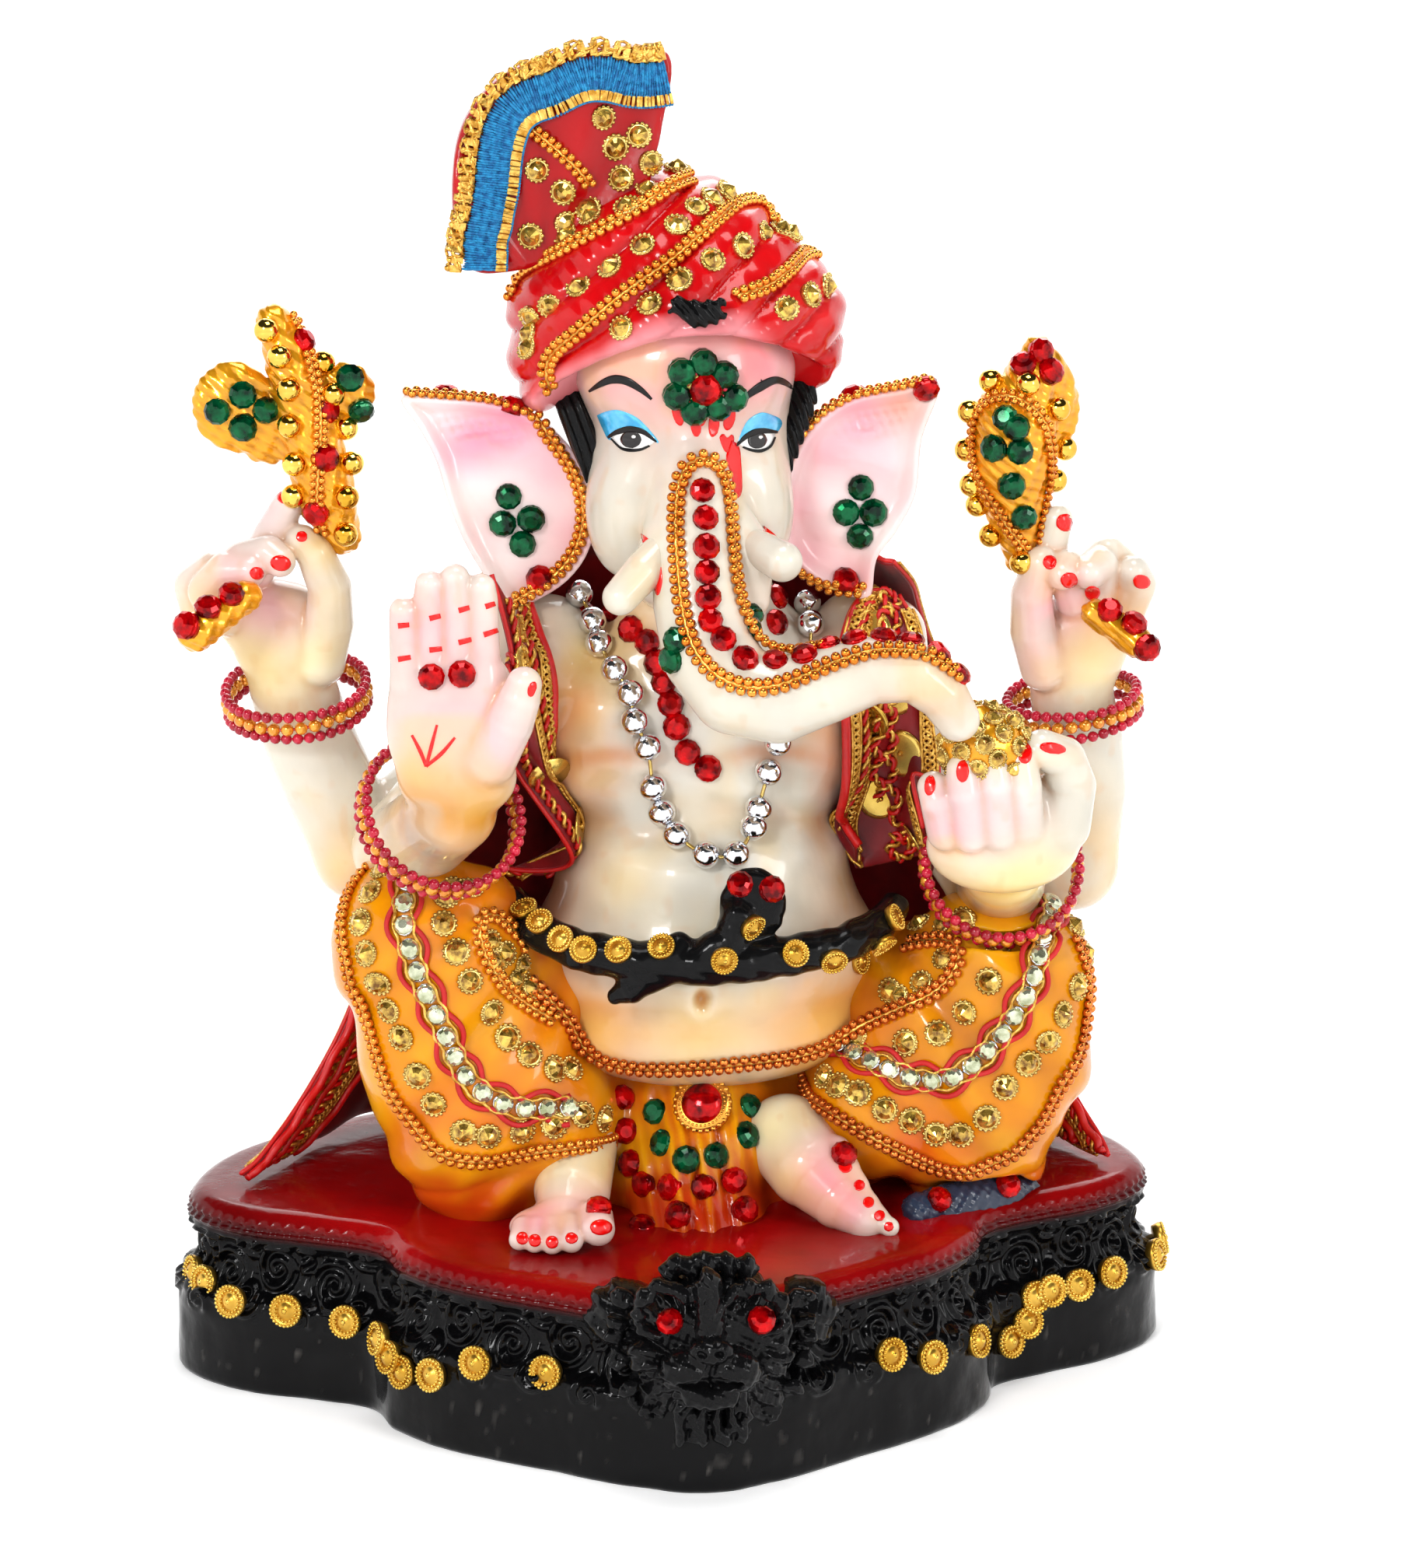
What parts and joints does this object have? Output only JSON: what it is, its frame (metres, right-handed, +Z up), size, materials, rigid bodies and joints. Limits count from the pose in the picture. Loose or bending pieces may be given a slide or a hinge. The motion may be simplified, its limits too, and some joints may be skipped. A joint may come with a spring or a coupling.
{
  "type": "seated elephant-headed prayer idol",
  "caption": "Seated elephant-headed prayer idol with four arms and a turban, glued gem and chain trims and a cloth shawl, on a lobed carved plinth.",
  "frame": {"origin": "centre of the plinth's footprint on the table, at the middle of the bounding box's bottom face", "axes": "+Z up, the figure faces -Y, the figure's right hand is towards -X"},
  "size_m": [0.2214, 0.155, 0.287],
  "materials": {
    "amber_resin": "glossy saffron lacquer over cast resin, orange-red in the creases",
    "ball_chain": "copper gold plated ball chain, polished",
    "black_resin": "deep glossy black lacquer over carved resin",
    "crystal_trim": "red braided thread with set crystals",
    "emerald_stone": "foil-backed faceted emerald acrylic stones",
    "gold_paint": "gold paint under clear coat",
    "gold_sequin": "bright gold discs with milled rim and domed centre",
    "gold_stone": "champagne faceted stones in gold plated dotted rims",
    "lace_trim": "blue braided yarn with gold metallic thread edge",
    "ruby_stone": "foil-backed faceted ruby acrylic stones",
    "seed_bead": "pearlised crimson and amber seed beads",
    "shawl_cloth": "dark red satin with gold braid and red piping",
    "silver_bead": "mirror-plated round beads",
    "skin_resin": "glossy clear-coated cast resin with airbrushed pink and amber shading",
    "slate_resin": "glossy slate blue lacquer",
    "turban_resin": "glossy red lacquer fading to pink white at the lower rim"
  },
  "bodies": {
    "figure": {"base_plinth": "black_resin", "foot_right": "skin_resin", "foot_left": "skin_resin", "turban": "turban_resin", "head": "skin_resin", "tusk_right": "skin_resin", "tusk_left": "skin_resin", "snake_belt": "black_resin", "torso": "skin_resin", "mouse": "slate_resin", "dhoti_legs": "amber_resin", "modak": "gold_paint", "front_arm_right": "skin_resin", "front_arm_left": "skin_resin", "rear_arm_right": "skin_resin", "rear_arm_left": "skin_resin", "axe": "gold_paint", "axe_handle": "gold_paint", "mace": "gold_paint", "mace_handle": "gold_paint", "ear_right": "skin_resin", "ear_left": "skin_resin", "turban_fan": "turban_resin", "fan_lace": "lace_trim", "forehead_flower": "emerald_stone", "medallion": "ruby_stone", "turban_chain_upper": "skin_resin", "turban_chain_middle": "skin_resin", "turban_chain_short": "skin_resin", "ear_right_chain": "ball_chain", "ear_left_chain": "ball_chain", "trunk_chain": "ball_chain", "waist_chain": "ball_chain", "dhoti_right_chain": "ball_chain", "dhoti_left_chain": "ball_chain", "dhoti_right_loop_chain": "ball_chain", "trunk_stone_row": "ruby_stone", "silver_bead_necklace": "silver_bead", "chest_stone_row": "ruby_stone", "turban_upper_stone_row": "gold_stone", "turban_lower_stone_row": "gold_stone", "dhoti_right_outer_stone_row": "gold_stone", "dhoti_right_inner_stone_row": "gold_stone", "dhoti_left_outer_stone_row": "gold_stone", "dhoti_left_inner_stone_row": "gold_stone", "dhoti_right_crystal_lace": "crystal_trim", "dhoti_left_crystal_lace": "crystal_trim", "belt_stone_row": "gold_sequin", "base_sequin_row_right": "gold_sequin", "base_sequin_row_left": "gold_sequin", "shawl_back": "shawl_cloth", "shawl_front_right": "shawl_cloth", "shawl_front_left": "shawl_cloth"},
    "bracelet_rear_right": {"bracelet_rear_right": "seed_bead"},
    "bracelet_rear_left": {"bracelet_rear_left": "seed_bead"},
    "bracelet_front_right": {"bracelet_front_right": "seed_bead"},
    "bracelet_front_left": {"bracelet_front_left": "seed_bead"}
  },
  "joints": [
    {"name": "bracelet_rear_right_turn", "type": "hinge", "parent": "figure", "child": "bracelet_rear_right", "pos_m": [-0.0819, 0.01895, 0.14804], "axis": [-0.0902, -0.2407, 0.9664], "continuous": true},
    {"name": "bracelet_rear_left_turn", "type": "hinge", "parent": "figure", "child": "bracelet_rear_left", "pos_m": [0.08652, 0.0194, 0.14208], "axis": [-0.1402, -0.1049, 0.9845], "continuous": true},
    {"name": "bracelet_front_right_turn", "type": "hinge", "parent": "figure", "child": "bracelet_front_right", "pos_m": [-0.05284, -0.01688, 0.13044], "axis": [0.3071, -0.7511, 0.5844], "continuous": true},
    {"name": "bracelet_front_left_turn", "type": "hinge", "parent": "figure", "child": "bracelet_front_left", "pos_m": [0.06673, -0.0088, 0.11387], "axis": [0.0049, -0.8462, 0.5328], "continuous": true}
  ]
}
